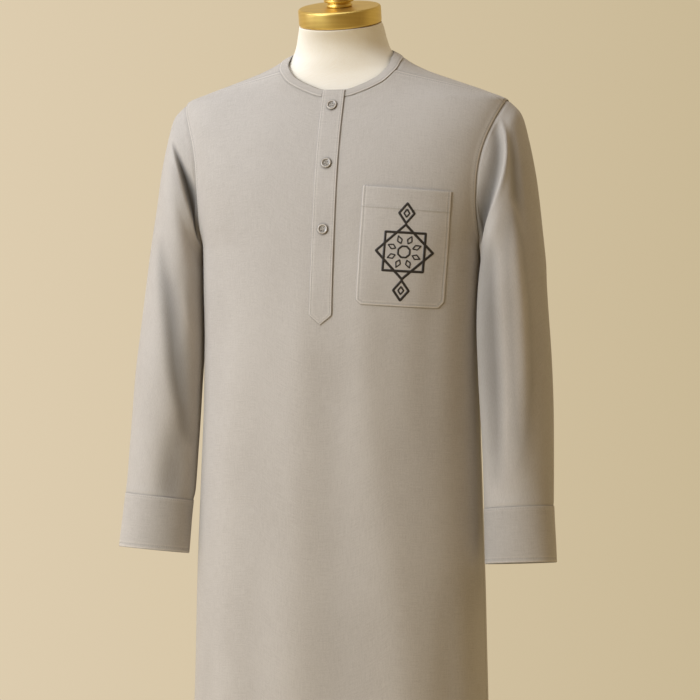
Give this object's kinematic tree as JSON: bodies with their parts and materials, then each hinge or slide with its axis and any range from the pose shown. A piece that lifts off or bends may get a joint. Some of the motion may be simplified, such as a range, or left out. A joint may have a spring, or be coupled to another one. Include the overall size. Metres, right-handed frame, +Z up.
{
  "type": "thobe robe on a dress form",
  "caption": "Collarless ankle-length thobe with a buttoned placket, chest pocket and plain cuffs, on a limbless dress form with a brass neck cap and a round pole stand.",
  "frame": {"origin": "centre of the stand's underside, on the floor", "axes": "+Z up, -Y to the front of the robe, +X to the wearer's left"},
  "size_m": [0.6568, 0.36, 1.6276],
  "materials": {
    "grey_cloth": "plain fine weave, light warm grey, faint sheen",
    "button_shell": "pearly beige, half gloss",
    "form_linen": "cream linen, matt",
    "brass": "satin"
  },
  "bodies": {
    "root": {"front_panel": "grey_cloth", "back_panel": "grey_cloth", "yoke": "grey_cloth", "neckband": "grey_cloth", "placket": "grey_cloth", "chest_pocket": "grey_cloth", "sleeve_left": "grey_cloth", "sleeve_right": "grey_cloth", "cuff_left": "grey_cloth", "cuff_right": "grey_cloth", "button_1": "button_shell", "button_2": "button_shell", "button_3": "button_shell", "form_torso": "form_linen", "neck_cap": "brass", "cap_finial": "brass", "stand_pole": "brass", "stand_base": "brass"}
  },
  "joints": []
}
